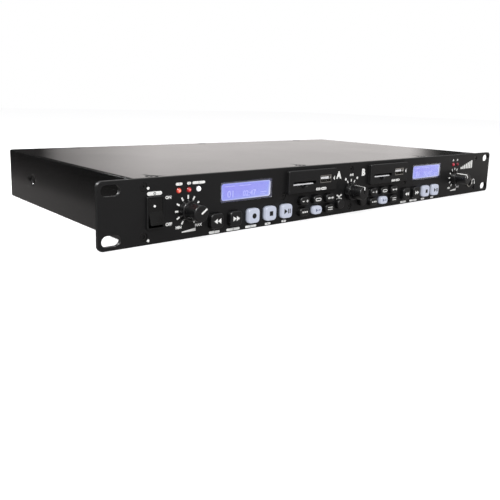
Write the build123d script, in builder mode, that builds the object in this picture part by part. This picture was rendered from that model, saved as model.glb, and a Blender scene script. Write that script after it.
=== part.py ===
from build123d import *
import os
from math import cos, radians, sin

os.makedirs("parts", exist_ok=True)

# A one-unit rack media player with two decks and a recorder. Millimetres.
# X runs right along the front panel, Y runs back into the case, Z runs up.
# The origin is the middle of the front panel's front face, so the controls stand out towards -Y.

# Front panel, to the 19 inch rack pattern
panel_width = 482.6
panel_height = 44.0
panel_thickness = 3.0
panel_corner = 3.5
rack_span = 465.1
rack_rise = 31.75
rack_slot_length = 13.2
rack_slot_width = 7.4
panel_edge = 0.3

# Folded steel case
case_width = 432.0
case_depth = 235.0
case_top = 21.8
case_bottom = -panel_height / 2
sheet = 1.2
bend = 1.6
tray_bend = 1.0
cover_hem = 0.4
flange_top = 16.0
side_screw_y = 178.0
top_screw_xs = (-199.0, -60.0, 115.0, 199.0)
rear_screw_xs = (-155.0, 0.0, 155.0)
top_screw_y = 8.0
rear_screw_y = 228.0

# Push buttons: a cap through the panel, a flange behind it and a stem on the axis
cap_height = 4.0
cap_edge = 0.9
cap_clearance = 0.3
fit_gap = 0.1
flange_margin = 0.8
flange_front = panel_thickness + 0.2
flange_thickness = 1.2
stem_size = 3.0
stem_length = 3.6
button_travel = 0.8
transport_size = 10.9
transport_radius = 2.8
transport_z = -11.8
small_width = 10.2
small_height = 6.8
small_radius = 2.9
small_rows = (-5.7, -14.6)
small_pitch = 15.2
jog_radius = 4.3
jog_z = -12.3

# Rotary controls
knob_height = 16.0
knob_cap_radius = 5.7
knob_grip_radius = 6.1
knob_skirt_radius = 7.6
knob_skirt_top = 4.9
knob_shoulder = (7.1, 4.7)
knob_wall = 1.2
knob_gap = 0.8
knob_edge = 0.7
knob_shoulder_edge = 0.5
knob_bore_depth = 2.5
pointer_width = 1.3
pointer_depth = 0.4
pointer_drop = 11.0
shaft_radius = 3.0
shaft_end = 10.0
bushing_radius = 3.5
bushing_front = -2.5
bushing_clearance = 0.2
running_gap = 0.05
pot_front = 6.2
pot_radius = 8.0
selector_size = 15.0
selector_corner = 1.5
record_knob = (-175.2, -2.2)
record_pointer = 55.0
mix_knob = (-4.8, -3.0)
mix_pointer = 0.0
phones_knob = (167.3, -2.2)
phones_pointer = -33.0

# Power rocker: a shallow V of a front face that tips about a pin
switch_centre = (-201.5, -0.9)
bezel_size = (13.0, 21.7)
bezel_height = 1.8
bezel_corner = 1.0
bezel_edge = 0.5
switch_body_size = (12.0, 21.0)
switch_well = (10.9, 19.8)
switch_well_end = 12.0
switch_body_end = 16.0
switch_tab = (4.8, 0.8)
switch_tab_length = 7.0
switch_tab_pitch = 6.5
rocker_width = 10.3
rocker_half = 8.9
rocker_tilt = 9.5
rocker_front = -1.6
rocker_pivot_depth = 4.5
rocker_pin_radius = 1.0
rocker_back = (  # half of its back, as depth behind the pin and height above it
    (-1.5, 7.6),
    (2.0, 3.0),
    (4.5, 1.5),
)

# Displays and media slots
lcd_centres = (-122.6, 114.3)
lcd_z = 7.4
lcd_view = (47.2, 12.3)
lcd_border = 1.3
lcd_corner = 1.5
pane_clearance = 0.05
pane_thickness = 2.0
pane_recess = 0.2
module_size = (57.0, 22.0)
module_thickness = 9.0
module_rim = 0.5
module_recess = 1.0
module_header = (40.0, 2.5)
module_header_rise = 8.0
bezel_centres = (-55.1, 47.5)
media_size = (55.8, 18.2)
media_z = 10.1
media_height = 3.5
media_edge = 0.8
media_corner = 1.2
card_slot = (26.0, 2.6)
card_wall = (1.2, 0.8)
card_z = 9.0
card_offset = -10.2
card_depth = 28.0
card_back = 1.0
usb_offset = 14.6
usb_z = 10.8
usb_size = (13.4, 6.2)
usb_corner = 0.6
usb_wall = 0.5
usb_inside = (usb_size[0] - 2 * usb_wall, usb_size[1] - 2 * usb_wall)
usb_inside_corner = 0.3
usb_recess = 0.2
usb_end = 11.0
usb_back = 1.0
tongue_size = (11.0, 1.9)
tongue_rise = 0.7
tongue_front = -1.5
notch_offset = -1.5
notch_width = 9.2
notch_drop = 3.3
notch_depth = 2.2
notch_taper = 25

# Indicators and the headphone jack
led_radius = 1.9
led_dome = 0.35
led_body_end = 8.0
led_leg = 0.6
led_leg_pitch = 2.0
led_z = 12.0
led_xs = (-182.9, -174.7, -166.7, 163.1, 171.3)
jack_centre = (197.2, -9.5)
jack_bore_radius = 3.25
jack_sleeve_radius = 4.0
jack_ring_radius = 4.9
jack_ring_height = 2.2
jack_ring_edge = 0.5
jack_body = (11.0, 12.5)
jack_end = 27.0
jack_floor = 2.0

# Screws
head_radius = 2.7
head_thickness = 1.0
shank_radius = 1.4
head_clearance = 0.2
shank_clearance = 0.1
hex_radius = 1.2
hex_depth = 0.7
case_head_sink = 0.2
case_shank = 2.0
panel_head_sink = 0.5
panel_shank = 5.5
panel_screws_at = (
    (-209.7, 16.3),
    (-209.7, -16.3),
    (-4.5, 16.3),
    (-4.5, -16.3),
    (209.7, 16.3),
    (209.7, -16.3),
)
board_screws_at = ((-85.6, -0.3), (76.6, -0.3))

# Inside: boards, transformer and the connectors on the back
board_y = 14.0
board_thickness = 1.6
board_width = 380.0
board_height = 38.8
board_z = -0.1
board_card_gap = 0.5
frame_windows = ((-206.4, -9.8), (0.8, 206.4))
frame_window_height = 37.6
frame_gap = 0.5
lip_depth = 12.0
floor = case_bottom + sheet
standoff_height = 6.0
standoff_radius = 3.2
standoff_inset = 6.0
spacer_radius = 3.0
spacer_thread = 5.0
tact_size = 6.0
tact_height = 3.5
tact_plunger = 1.7
tact_gap = 0.2
main_board = (200.0, 120.0)
main_board_centre = (40.0, 120.0)
chips = (  # offset from the board's centre, then width, depth and height
    (-60, -20, 24, 24, 2.4),
    (50, -20, 24, 24, 2.4),
    (-5, -10, 18, 12, 2.0),
    (-60, 20, 14, 10, 2.0),
    (50, 20, 14, 10, 2.0),
    (0, -54, 50, 6, 8.0),
)
can_offsets = ((-85, 42), (-35, 42), (20, 42), (80, 42))
can_radius = 4.0
can_height = 11.0
power_board = (80.0, 84.0)
power_board_centre = (-160.0, 76.0)
heat_sink = (6.0, 50.0, 18.0)
heat_sink_offset = 22.0
reservoir_offsets = ((-12, -24), (-12, 0), (-12, 24))
reservoir_radius = 8.0
reservoir_height = 20.0
toroid_centre = (-168.0, 160.0)
toroid_radius = 35.0
toroid_hole = 13.0
toroid_height = 30.0
toroid_corner = 7.0
toroid_bolt_radius = 3.0
toroid_bolt_rise = 3.0
toroid_disc_radius = 22.0
toroid_disc_thickness = 1.5
inlet_x = -168.0
inlet_flange = (48.0, 23.0)
inlet_flange_corner = 4.0
inlet_flange_thickness = 2.5
inlet_body = (27.0, 19.6)
inlet_corner = 2.0
inlet_wall = 4.0
inlet_cavity = (24.4, 16.4)
inlet_depth = 21.0
inlet_gap = 0.2
blade_size = (2.0, 4.0)
blade_length = 24.0
blade_tail = 6.0
blades = ((0.0, 2.0), (-7.0, -2.0), (7.0, -2.0))
socket_xs = (-40.0, -20.0, 20.0, 40.0, 80.0, 100.0)
socket_radius = 4.15
socket_length = 8.5
socket_gap = 0.4
insulator_radius = 3.0
insulator_bore = 1.6
insulator_recess = 1.0
socket_block = (34.0, 14.0, 16.0)
ribbon_width = 18.0
ribbon_gap = 8.0
ribbon_thickness = 0.9
ribbon_bend = 3.0
ribbon_start_z = 6.0
ribbon_end_z = -9.0


def front(y):
    """The plane that faces the user at depth y: its own x runs along X and its own y along Z."""
    return Plane.XZ.offset(-y)


def save(piece, name):
    piece.part.label = name
    export_step(piece.part, f"parts/{name}.step")


# ---- what shows through the front panel ----


def transport_outline(margin=0.0):
    side = transport_size + 2 * margin
    RectangleRounded(side, side, transport_radius + margin)


def small_outline(margin=0.0):
    RectangleRounded(small_width + 2 * margin, small_height + 2 * margin, small_radius + margin)


def jog_outline(margin=0.0):
    Circle(jog_radius + margin)


def card_outline(margin=0.0):
    """The outside of a card socket's shell."""
    Rectangle(card_slot[0] + 2 * (card_wall[0] + margin), card_slot[1] + 2 * (card_wall[1] + margin))


def pane_outline(margin=0.0):
    """The edge of a display's pane."""
    border = 2 * (lcd_border + margin)
    RectangleRounded(lcd_view[0] + border, lcd_view[1] + border, lcd_corner + margin)


buttons = {}
for name, x in (
    ("rewind_button_a", -152.6),
    ("forward_button_a", -135.5),
    ("record_button", -118.4),
    ("stop_button_a", -101.3),
    ("play_button_a", -84.2),
    ("rewind_button_b", 76.5),
    ("forward_button_b", 93.3),
    ("stop_button_b", 110.1),
    ("play_button_b", 126.9),
):
    buttons[name] = (x, transport_z, transport_outline)
for deck, first_x in (("a", -64.4), ("b", 25.6)):
    for row, z in enumerate(small_rows):
        for column in range(3):
            number = 1 + column + 3 * row
            buttons[f"function_button_{number}{deck}"] = (first_x + column * small_pitch, z, small_outline)
buttons["fader_button_a"] = (-19.9, jog_z, jog_outline)
buttons["fader_button_b"] = (10.5, jog_z, jog_outline)
button_centres = [(x, z) for x, z, _ in buttons.values()]

knobs = {
    "record_volume": (record_knob, record_pointer),
    "mix_selector": (mix_knob, mix_pointer),
    "phones_volume": (phones_knob, phones_pointer),
}

with BuildPart() as front_panel:
    with BuildSketch(front(0)):
        RectangleRounded(panel_width, panel_height, panel_corner)
    extrude(amount=-panel_thickness)
    chamfer(front_panel.edges().group_by(Axis.Y)[0], panel_edge)
    with BuildSketch(front(0)):
        with GridLocations(rack_span, rack_rise, 2, 2):
            SlotOverall(rack_slot_length, rack_slot_width)
        for x, z, outline in buttons.values():
            with Locations((x, z)):
                outline(cap_clearance)
        with Locations(record_knob, mix_knob, phones_knob):
            Circle(bushing_radius + bushing_clearance)
        with Locations(*[(x, led_z) for x in led_xs]):
            Circle(led_radius + running_gap)
        with Locations(*[(x, lcd_z) for x in lcd_centres]):
            pane_outline()
        for x in bezel_centres:
            with Locations((x + card_offset, card_z)):
                card_outline(fit_gap)
            with Locations((x + usb_offset, usb_z)):
                Rectangle(usb_size[0] + 6 * fit_gap, usb_size[1] + 6 * fit_gap)
        with Locations(switch_centre):
            Rectangle(switch_body_size[0] + 2 * fit_gap, switch_body_size[1] + 2 * fit_gap)
        with Locations(jack_centre):
            Circle(jack_sleeve_radius)
        with Locations(*panel_screws_at, *board_screws_at):
            Circle(shank_radius + shank_clearance)
    extrude(amount=-panel_thickness, mode=Mode.SUBTRACT)
    with BuildSketch(front(0)):
        with Locations(*panel_screws_at, *board_screws_at):
            Circle(head_radius + head_clearance)
    extrude(amount=-(head_thickness + panel_head_sink), mode=Mode.SUBTRACT)
save(front_panel, "front_panel")

# Each button's flange rests just behind the panel, and its stem reaches for its switch.
stem_end = flange_front + flange_thickness + stem_length
for name, (x, z, outline) in buttons.items():
    with BuildPart() as button:
        with BuildSketch(front(-cap_height)):
            with Locations((x, z)):
                outline()
        extrude(amount=-(cap_height + flange_front))
        fillet(button.edges().group_by(Axis.Y)[0], cap_edge)
        with BuildSketch(front(flange_front)):
            with Locations((x, z)):
                outline(flange_margin)
        extrude(amount=-flange_thickness)
        with BuildSketch(front(flange_front + flange_thickness)):
            with Locations((x, z)):
                Rectangle(stem_size, stem_size)
        extrude(amount=-stem_length)
    save(button, name)

# Knobs: a tapered grip on a hollow skirt, with a groove for the white pointer that runs from the
# middle of the cap over its edge and down the grip.
# The pointer angle is clockwise from the top, as the user sees it.
for name, ((x, z), pointer) in knobs.items():
    turning_axis = Axis((x, 0, z), (0, 1, 0))
    bore_end = -(knob_height - knob_bore_depth)
    with BuildPart() as knob:
        with BuildSketch(Plane(origin=(x, 0, z))):
            with BuildLine():
                Polyline(
                    (0, -knob_height),
                    (knob_cap_radius, -knob_height),
                    (knob_grip_radius, -knob_skirt_top),
                    (knob_shoulder[0], -knob_shoulder[1]),
                    (knob_skirt_radius, -knob_gap),
                    (knob_skirt_radius - knob_wall, -knob_gap),
                    (knob_skirt_radius - knob_wall, knob_wall - knob_skirt_top),
                    (shaft_radius, knob_wall - knob_skirt_top),
                    (shaft_radius, bore_end),
                    (0, bore_end),
                    close=True,
                )
            make_face()
        revolve(axis=turning_axis)
        fillet(knob.edges().group_by(Axis.Y)[0], knob_edge)
        shoulder = knob.edges().filter_by_position(Axis.Y, -knob_shoulder[1] - 0.01, -knob_shoulder[1] + 0.01)
        fillet(shoulder, knob_shoulder_edge)
        with BuildSketch(front(-knob_height)):
            with Locations(Location((x, z), -pointer)):
                with Locations((0, knob_cap_radius / 2)):
                    Rectangle(pointer_width, knob_cap_radius)
        extrude(amount=-pointer_depth, mode=Mode.SUBTRACT)
        with BuildSketch(front(-knob_height)):
            with Locations(Location((x, z), -pointer)):
                with Locations((0, knob_grip_radius)):
                    Rectangle(pointer_width, 2 * (knob_grip_radius - knob_cap_radius + pointer_depth))
        extrude(amount=-pointer_drop, mode=Mode.SUBTRACT)
    save(knob, f"{name}_knob")

    with BuildPart() as shaft:
        with BuildSketch(front(bore_end)):
            with Locations((x, z)):
                Circle(shaft_radius)
        extrude(amount=-(shaft_end - bore_end))
    save(shaft, f"{name}_shaft")

# Rotary parts behind the knobs: two potentiometers and the three-way selector switch.
bushing_length = pot_front - bushing_front
shaft_bore = shaft_end + bushing_clearance - bushing_front
with BuildPart() as volume_pots:
    for centre in (record_knob, phones_knob):
        with BuildSketch(front(pot_front)):
            with Locations(centre):
                Circle(pot_radius)
        extrude(amount=-(board_y - pot_front))
        with BuildSketch(front(bushing_front)):
            with Locations(centre):
                Circle(bushing_radius)
        extrude(amount=-bushing_length)
        with BuildSketch(front(bushing_front)):
            with Locations(centre):
                Circle(shaft_radius + running_gap)
        extrude(amount=-shaft_bore, mode=Mode.SUBTRACT)
save(volume_pots, "volume_pots")

with BuildPart() as selector_switch:
    with BuildSketch(front(pot_front)):
        with Locations(mix_knob):
            Rectangle(selector_size, selector_size)
    extrude(amount=-(board_y - pot_front))
    fillet(selector_switch.edges().filter_by(Axis.Y), selector_corner)
    with BuildSketch(front(bushing_front)):
        with Locations(mix_knob):
            Circle(bushing_radius)
    extrude(amount=-bushing_length)
    with BuildSketch(front(bushing_front)):
        with Locations(mix_knob):
            Circle(shaft_radius + running_gap)
    extrude(amount=-shaft_bore, mode=Mode.SUBTRACT)
save(selector_switch, "selector_switch")

# Power switch: a bezel and well through the panel, open at the front, with three tabs at the back.
pivot_y = rocker_front + rocker_pivot_depth
with BuildPart() as power_switch_body:
    with BuildSketch(front(-bezel_height)):
        with Locations(switch_centre):
            RectangleRounded(*bezel_size, bezel_corner)
    extrude(amount=-bezel_height)
    fillet(power_switch_body.edges().group_by(Axis.Y)[0], bezel_edge)
    with BuildSketch(front(0)):
        with Locations(switch_centre):
            Rectangle(*switch_body_size)
    extrude(amount=-switch_body_end)
    with BuildSketch(front(-bezel_height)):
        with Locations(switch_centre):
            Rectangle(*switch_well)
    extrude(amount=-(switch_well_end + bezel_height), mode=Mode.SUBTRACT)
    with BuildSketch(front(switch_body_end)):
        with Locations(switch_centre):
            with GridLocations(0, switch_tab_pitch, 1, 3):
                Rectangle(*switch_tab)
    extrude(amount=-switch_tab_length)
    with Locations(Location((switch_centre[0], pivot_y, switch_centre[1]), (0, 90, 0))):
        Cylinder(rocker_pin_radius + running_gap, switch_body_size[0], mode=Mode.SUBTRACT)
save(power_switch_body, "power_switch_body")

# The rocker rests with its upper half pressed in: its own plane is tipped back about the pin.
tipped = Plane(
    origin=(switch_centre[0] - rocker_width / 2, pivot_y, switch_centre[1]),
    x_dir=(0, cos(radians(rocker_tilt)), -sin(radians(rocker_tilt))),
    z_dir=(1, 0, 0),
)
rocker_end = (
    -rocker_pivot_depth - rocker_half * sin(radians(rocker_tilt)),
    rocker_half * cos(radians(rocker_tilt)),
)
with BuildPart() as power_rocker:
    with BuildSketch(tipped):
        with BuildLine():
            Polyline(
                (-rocker_pivot_depth, 0),
                rocker_end,
                *rocker_back,
                *[(depth, -rise) for depth, rise in reversed(rocker_back)],
                (rocker_end[0], -rocker_end[1]),
                close=True,
            )
        make_face()
    extrude(amount=rocker_width)
    with Locations(Location((switch_centre[0], pivot_y, switch_centre[1]), (0, 90, 0))):
        Cylinder(rocker_pin_radius, switch_body_size[0] - 0.1)
save(power_rocker, "power_rocker")

# Displays: a clear pane set in the panel, and a module with a steel frame behind it.
with BuildPart() as lcd_windows:
    for x in lcd_centres:
        with BuildSketch(front(pane_recess)):
            with Locations((x, lcd_z)):
                pane_outline(-pane_clearance)
        extrude(amount=-pane_thickness)
save(lcd_windows, "lcd_windows")

with BuildPart() as lcd_modules:
    for x in lcd_centres:
        with BuildSketch(front(flange_front)):
            with Locations((x, lcd_z)):
                Rectangle(*module_size)
        extrude(amount=-module_thickness)
        with BuildSketch(front(flange_front)):
            with Locations((x, lcd_z)):
                Rectangle(lcd_view[0] + 2 * module_rim, lcd_view[1] + 2 * module_rim)
        extrude(amount=-module_recess, mode=Mode.SUBTRACT)
        with BuildSketch(front(flange_front + module_thickness)):
            with Locations((x, lcd_z + module_header_rise)):
                Rectangle(*module_header)
        extrude(amount=-(board_y - flange_front - module_thickness))
save(lcd_modules, "lcd_modules")

# Media bezels: a raised block on each deck, with a card slot, its finger notch and a USB opening.
for deck, x in zip("ab", bezel_centres):
    with BuildPart() as media_bezel:
        with BuildSketch(front(-media_height)):
            with Locations((x, media_z)):
                RectangleRounded(*media_size, media_corner)
        extrude(amount=-media_height)
        fillet(media_bezel.edges().group_by(Axis.Y)[0], media_edge)
        with BuildSketch(front(-media_height)):
            with Locations((x + card_offset, card_z)):
                Rectangle(*card_slot)
            with Locations((x + usb_offset, usb_z)):
                Rectangle(usb_size[0] + 2 * fit_gap, usb_size[1] + 2 * fit_gap)
        extrude(amount=-media_height, mode=Mode.SUBTRACT)
        notch_top = card_z - card_slot[1] / 2
        notch_x = x + card_offset + notch_offset
        with BuildSketch(front(-media_height)):
            with BuildLine():
                Line((notch_x + notch_width / 2, notch_top), (notch_x - notch_width / 2, notch_top))
                ThreePointArc(
                    (notch_x - notch_width / 2, notch_top),
                    (notch_x, notch_top - notch_drop),
                    (notch_x + notch_width / 2, notch_top),
                )
            make_face()
        extrude(amount=-notch_depth, taper=notch_taper, mode=Mode.SUBTRACT)
    save(media_bezel, f"media_bezel_{deck}")

with BuildPart() as card_sockets:
    for x in bezel_centres:
        with BuildSketch(front(0)):
            with Locations((x + card_offset, card_z)):
                card_outline()
        extrude(amount=-(card_depth + card_back))
        with BuildSketch(front(0)):
            with Locations((x + card_offset, card_z)):
                Rectangle(*card_slot)
        extrude(amount=-card_depth, mode=Mode.SUBTRACT)
save(card_sockets, "card_sockets")

with BuildPart() as usb_ports:
    for x in bezel_centres:
        with BuildSketch(front(usb_recess - media_height)):
            with Locations((x + usb_offset, usb_z)):
                RectangleRounded(*usb_size, usb_corner)
                RectangleRounded(*usb_inside, usb_inside_corner, mode=Mode.SUBTRACT)
        extrude(amount=-(usb_end + media_height - usb_recess))
save(usb_ports, "usb_ports")

with BuildPart() as usb_tongues:
    for x in bezel_centres:
        with BuildSketch(front(usb_end - usb_back)):
            with Locations((x + usb_offset, usb_z)):
                RectangleRounded(*usb_inside, usb_inside_corner)
        extrude(amount=-usb_back)
        with BuildSketch(front(tongue_front)):
            with Locations((x + usb_offset, usb_z + tongue_rise)):
                Rectangle(*tongue_size)
        extrude(amount=-(usb_end - usb_back - tongue_front))
save(usb_tongues, "usb_tongues")

# Indicator lamps: a domed lens in the panel and two legs to the board.
with BuildPart() as status_leds:
    for x in led_xs:
        with BuildSketch(front(0)):
            with Locations((x, led_z)):
                Circle(led_radius)
        extrude(amount=-led_body_end)
        with Locations((x, led_dome, led_z)):
            Sphere(led_radius)
        with BuildSketch(front(led_body_end)):
            with Locations((x, led_z)):
                with GridLocations(led_leg_pitch, 0, 2, 1):
                    Rectangle(led_leg, led_leg)
        extrude(amount=-(board_y - led_body_end))
save(status_leds, "status_leds")

# Headphone jack: a sleeve through the panel and a ring nut on it, with one bore through both.
with BuildPart() as headphone_jack:
    with BuildSketch(front(-jack_ring_height)):
        with Locations(jack_centre):
            Circle(jack_sleeve_radius)
    extrude(amount=-(jack_ring_height + panel_thickness))
    with BuildSketch(front(panel_thickness)):
        with Locations(jack_centre):
            Rectangle(*jack_body)
    extrude(amount=-(jack_end - panel_thickness))
    with BuildSketch(front(-jack_ring_height)):
        with Locations(jack_centre):
            Circle(jack_bore_radius)
    extrude(amount=-(jack_end - jack_floor + jack_ring_height), mode=Mode.SUBTRACT)
save(headphone_jack, "headphone_jack")

with BuildPart() as jack_ring:
    with BuildSketch(front(-jack_ring_height)):
        with Locations(jack_centre):
            Circle(jack_ring_radius)
            Circle(jack_sleeve_radius, mode=Mode.SUBTRACT)
    extrude(amount=-jack_ring_height)
    fillet(jack_ring.edges().group_by(Axis.Y)[0].sort_by(SortBy.RADIUS)[-1], jack_ring_edge)
save(jack_ring, "jack_ring")

# ---- the case ----

inner_half = case_width / 2 - sheet
cover_under = case_top - sheet

with BuildPart() as top_cover:
    with BuildSketch(front(panel_thickness)):
        with Locations((0, (case_top + case_bottom + cover_hem) / 2)):
            Rectangle(case_width, case_top - case_bottom - cover_hem)
    extrude(amount=-(case_depth - panel_thickness))
    fillet(top_cover.edges().filter_by(Axis.Y).group_by(Axis.Z)[-1], bend)
    with BuildSketch(front(panel_thickness)):
        with Locations((0, cover_under - panel_height / 2)):
            RectangleRounded(2 * inner_half, panel_height, bend - sheet)
    extrude(amount=-(case_depth - panel_thickness), mode=Mode.SUBTRACT)
    with BuildSketch(Plane.XY.offset(case_top)):
        with Locations(
            *[(x, top_screw_y) for x in top_screw_xs],
            *[(x, rear_screw_y) for x in rear_screw_xs],
        ):
            Circle(head_radius + head_clearance)
    extrude(amount=-sheet, mode=Mode.SUBTRACT)
    with BuildSketch(Plane.YZ.offset(-case_width / 2)):
        with Locations((side_screw_y, 0)):
            Circle(head_radius + head_clearance)
    extrude(amount=case_width, mode=Mode.SUBTRACT)
save(top_cover, "top_cover")

with BuildPart() as chassis_tray:
    with BuildSketch(front(panel_thickness)):
        with Locations((0, (flange_top + case_bottom) / 2)):
            Rectangle(2 * inner_half, flange_top - case_bottom)
    extrude(amount=-(case_depth - panel_thickness))
    fillet(chassis_tray.edges().filter_by(Axis.Y).group_by(Axis.Z)[0], tray_bend)
    with BuildSketch(front(panel_thickness)):
        with Locations((0, floor + panel_height / 2)):
            Rectangle(2 * (inner_half - sheet), panel_height)
    extrude(amount=-(case_depth - panel_thickness), mode=Mode.SUBTRACT)
    with BuildSketch(Plane.YZ.offset(-inner_half)):
        with Locations((side_screw_y, 0)):
            Circle(shank_radius)
    extrude(amount=2 * inner_half, mode=Mode.SUBTRACT)
save(chassis_tray, "chassis_tray")

# A folded frame behind the panel ties it to the case. The boards' edges sit between its two lips.
frame_half = inner_half - sheet - 2 * fit_gap
frame_back = panel_thickness + sheet
frame_middle = (cover_under + floor) / 2
frame_height = cover_under - floor
lip_heights = (cover_under - sheet / 2, floor + sheet / 2)
with BuildPart() as front_frame:
    with BuildSketch(front(panel_thickness)):
        with Locations((0, frame_middle)):
            Rectangle(2 * frame_half, frame_height)
        for left, right in frame_windows:
            with Locations(((left + right) / 2, frame_middle)):
                Rectangle(right - left, frame_window_height, mode=Mode.SUBTRACT)
        with Locations(switch_centre):
            Rectangle(
                switch_body_size[0] + 2 * frame_gap,
                switch_body_size[1] + 2 * frame_gap,
                mode=Mode.SUBTRACT,
            )
        with Locations(*panel_screws_at):
            Circle(shank_radius, mode=Mode.SUBTRACT)
        with Locations(mix_knob):
            Circle(bushing_radius + frame_gap, mode=Mode.SUBTRACT)
    extrude(amount=-sheet)
    for z in lip_heights:
        with BuildSketch(front(frame_back)):
            with Locations((0, z)):
                Rectangle(2 * frame_half, sheet)
        extrude(amount=-lip_depth)
    with BuildSketch(Plane.XY.offset(cover_under)):
        with Locations(*[(x, top_screw_y) for x in top_screw_xs]):
            Circle(shank_radius)
    extrude(amount=-sheet, mode=Mode.SUBTRACT)
save(front_frame, "front_frame")

rear_face = case_depth - sheet
with BuildPart() as rear_panel:
    with BuildSketch(front(rear_face)):
        with Locations((0, frame_middle)):
            Rectangle(2 * frame_half, frame_height)
        with Locations((inlet_x, 0)):
            Rectangle(inlet_body[0] + 2 * inlet_gap, inlet_body[1] + 2 * inlet_gap, mode=Mode.SUBTRACT)
        with Locations(*[(x, 0) for x in socket_xs]):
            Circle(socket_radius + socket_gap, mode=Mode.SUBTRACT)
    extrude(amount=-sheet)
    with BuildSketch(front(rear_face - lip_depth)):
        for z in lip_heights:
            with Locations((0, z)):
                Rectangle(2 * frame_half, sheet)
    extrude(amount=-lip_depth)
    with BuildSketch(Plane.XY.offset(cover_under)):
        with Locations(*[(x, rear_screw_y) for x in rear_screw_xs]):
            Circle(shank_radius)
    extrude(amount=-sheet, mode=Mode.SUBTRACT)
save(rear_panel, "rear_panel")


def screw_group(name, head_planes, shank_length):
    """One solid for each screw: a flush head on its plane, a hexagon socket in it and the shank below."""
    with BuildPart() as screws:
        for plane in head_planes:
            with BuildSketch(plane):
                Circle(head_radius)
            extrude(amount=-head_thickness)
            with BuildSketch(plane.offset(-head_thickness)):
                Circle(shank_radius)
            extrude(amount=-shank_length)
            with BuildSketch(plane):
                RegularPolygon(hex_radius, 6)
            extrude(amount=-hex_depth, mode=Mode.SUBTRACT)
    save(screws, name)


head_z = case_top - case_head_sink
head_x = case_width / 2 - case_head_sink
screw_group(
    "case_screws",
    [Plane(origin=(x, top_screw_y, head_z)) for x in top_screw_xs]
    + [Plane(origin=(x, rear_screw_y, head_z)) for x in rear_screw_xs]
    + [
        Plane(origin=(side * head_x, side_screw_y, 0), x_dir=(0, 1, 0), z_dir=(side, 0, 0))
        for side in (-1, 1)
    ],
    case_shank,
)
screw_group(
    "panel_screws",
    [
        Plane(origin=(x, panel_head_sink, z), x_dir=(1, 0, 0), z_dir=(0, -1, 0))
        for x, z in panel_screws_at + board_screws_at
    ],
    panel_shank,
)

# ---- inside the case ----

with BuildPart() as control_board:
    with BuildSketch(front(board_y)):
        with Locations((0, board_z)):
            Rectangle(board_width, board_height)
    extrude(amount=-board_thickness)
    with BuildSketch(front(board_y)):
        for x in bezel_centres:
            with Locations((x + card_offset, card_z)):
                card_outline(board_card_gap)
    extrude(amount=-board_thickness, mode=Mode.SUBTRACT)
save(control_board, "control_board")

tact_front = board_y - tact_height
plunger_front = stem_end + button_travel + tact_gap
with BuildPart() as tact_switches:
    with BuildSketch(front(tact_front)):
        with Locations(*button_centres):
            Rectangle(tact_size, tact_size)
    extrude(amount=-tact_height)
    with BuildSketch(front(plunger_front)):
        with Locations(*button_centres):
            Circle(tact_plunger)
    extrude(amount=-(tact_front - plunger_front))
save(tact_switches, "tact_switches")

deck_z = floor + standoff_height
board_corners = []
for (x, y), (width, depth) in ((main_board_centre, main_board), (power_board_centre, power_board)):
    for dx in (-width / 2 + standoff_inset, width / 2 - standoff_inset):
        for dy in (-depth / 2 + standoff_inset, depth / 2 - standoff_inset):
            board_corners.append((x + dx, y + dy))

with BuildPart() as board_standoffs:
    with BuildSketch(Plane.XY.offset(floor)):
        with Locations(*board_corners):
            RegularPolygon(standoff_radius, 6)
    extrude(amount=standoff_height)
    with BuildSketch(front(panel_thickness)):
        with Locations(*board_screws_at):
            RegularPolygon(spacer_radius, 6)
    extrude(amount=-(board_y - panel_thickness))
    with BuildSketch(front(panel_thickness)):
        with Locations(*board_screws_at):
            Circle(shank_radius)
    extrude(amount=-spacer_thread, mode=Mode.SUBTRACT)
save(board_standoffs, "board_standoffs")

chip_z = deck_z + board_thickness
with BuildPart() as main_board_assembly:
    with BuildSketch(Plane.XY.offset(deck_z)):
        with Locations(main_board_centre):
            Rectangle(*main_board)
    extrude(amount=board_thickness)
    for dx, dy, width, depth, height in chips:
        with Locations((main_board_centre[0] + dx, main_board_centre[1] + dy, chip_z + height / 2)):
            Box(width, depth, height)
    for dx, dy in can_offsets:
        with Locations((main_board_centre[0] + dx, main_board_centre[1] + dy, chip_z + can_height / 2)):
            Cylinder(can_radius, can_height)
save(main_board_assembly, "main_board")

with BuildPart() as power_board_assembly:
    with BuildSketch(Plane.XY.offset(deck_z)):
        with Locations(power_board_centre):
            Rectangle(*power_board)
    extrude(amount=board_thickness)
    heat_sink_x = power_board_centre[0] + heat_sink_offset
    with Locations((heat_sink_x, power_board_centre[1], chip_z + heat_sink[2] / 2)):
        Box(*heat_sink)
    for dx, dy in reservoir_offsets:
        with Locations(
            (power_board_centre[0] + dx, power_board_centre[1] + dy, chip_z + reservoir_height / 2)
        ):
            Cylinder(reservoir_radius, reservoir_height)
save(power_board_assembly, "power_board")

with BuildPart() as transformer:
    with BuildSketch(Plane.XZ.offset(-toroid_centre[1])):
        with Locations((toroid_centre[0] + (toroid_radius + toroid_hole) / 2, floor + toroid_height / 2)):
            RectangleRounded(toroid_radius - toroid_hole, toroid_height, toroid_corner)
    revolve(axis=Axis((*toroid_centre, 0), (0, 0, 1)))
    with BuildSketch(Plane.XY.offset(floor)):
        with Locations(toroid_centre):
            Circle(toroid_bolt_radius)
    extrude(amount=toroid_height + toroid_bolt_rise)
    with BuildSketch(Plane.XY.offset(floor + toroid_height)):
        with Locations(toroid_centre):
            Circle(toroid_disc_radius)
    extrude(amount=toroid_disc_thickness)
save(transformer, "transformer")

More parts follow.
